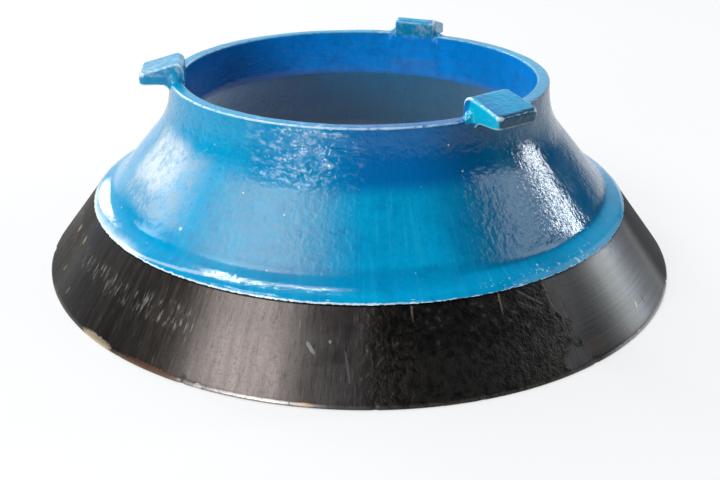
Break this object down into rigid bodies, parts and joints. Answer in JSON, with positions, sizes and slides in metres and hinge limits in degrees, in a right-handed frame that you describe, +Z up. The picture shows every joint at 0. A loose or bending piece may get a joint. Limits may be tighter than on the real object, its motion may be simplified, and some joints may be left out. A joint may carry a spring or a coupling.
{
  "type": "cone crusher concave",
  "caption": "Cast concave ring of a cone crusher: conical machined seat, flared neck with hanging lugs on its rim, crushing cone inside.",
  "frame": {"origin": "centre of the flat bottom ring, in its plane", "axes": "+Z up along the ring's axis, from the wide mouth to the rim with the lugs; the picture looks along +Y"},
  "size_m": [1.2399, 1.2399, 0.3877],
  "materials": {
    "painted_casting": "glossy blue paint over a cast skin, with the conical seat band bare, dark and machined"
  },
  "bodies": {
    "root": {"concave": "painted_casting"}
  },
  "joints": []
}
